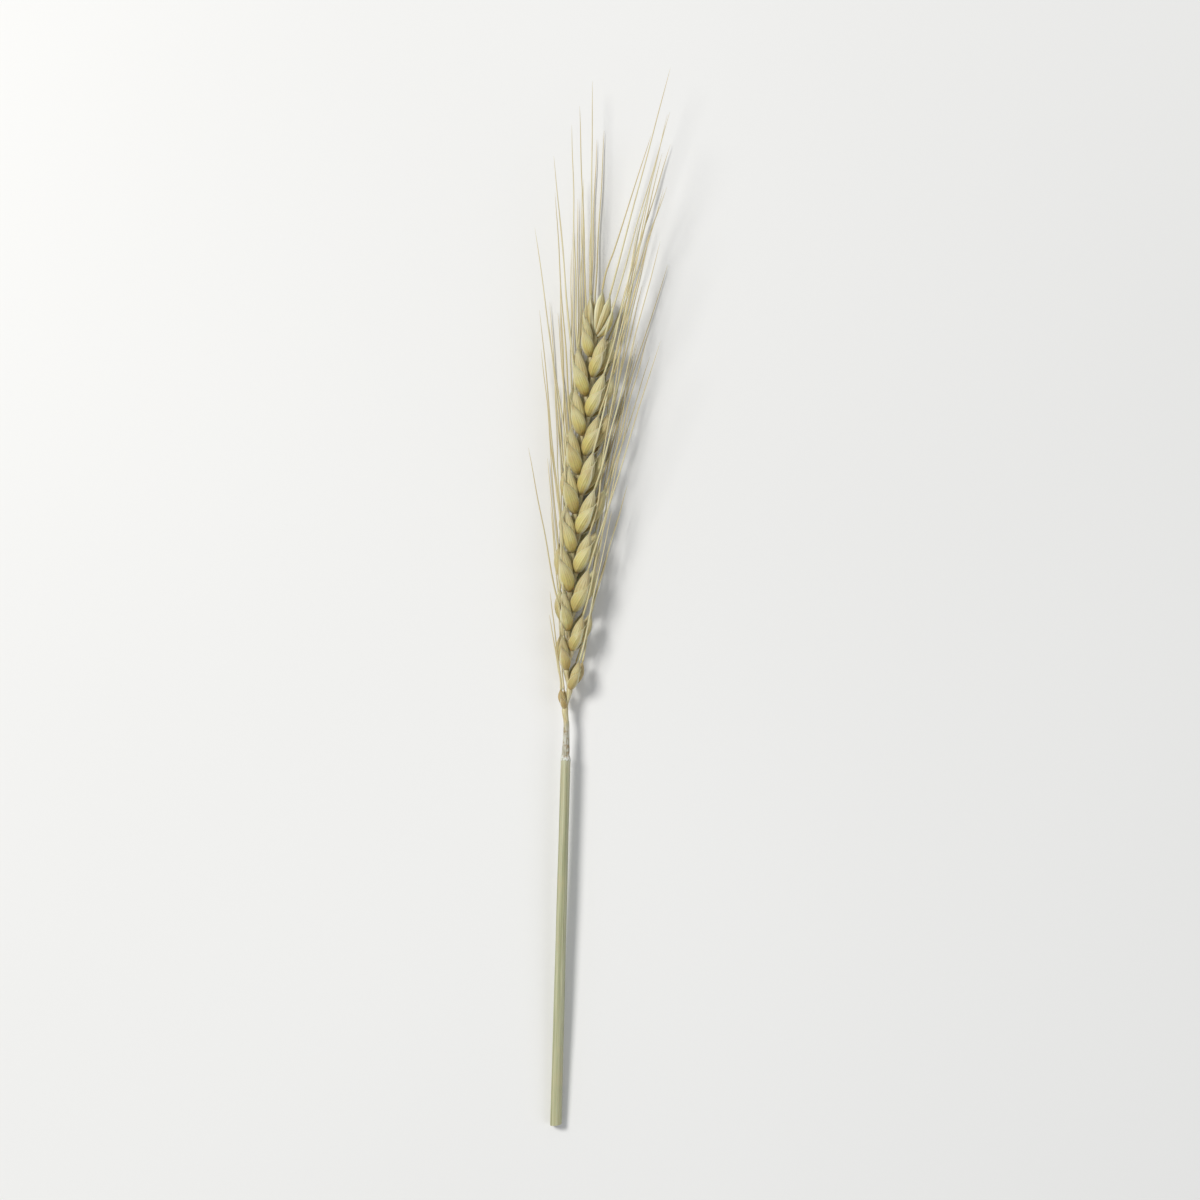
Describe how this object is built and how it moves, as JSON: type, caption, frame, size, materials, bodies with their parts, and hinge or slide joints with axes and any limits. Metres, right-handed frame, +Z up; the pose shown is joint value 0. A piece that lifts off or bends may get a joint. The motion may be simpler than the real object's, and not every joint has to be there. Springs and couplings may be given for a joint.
{
  "type": "wheat ear",
  "caption": "Ripe bearded wheat ear on a cut straw stem, with two rows of plump overlapping husks and long fine awns, lying on its side.",
  "frame": {"origin": "middle of the outline on the surface that the ear lies on", "axes": "+Y from the cut end of the stem towards the tips of the awns, +X to the right row of spikelets, +Z up from the surface"},
  "size_m": [0.033, 0.2458, 0.017],
  "materials": {
    "green_straw": "dry grey-green straw with fine lengthwise ribs, matt to satin",
    "ripe_husk": "dry yellow-olive husk with fine veins, paler at the edges and tips, matt to satin"
  },
  "bodies": {
    "root": {"stem": "green_straw", "ear": "ripe_husk"}
  },
  "joints": []
}
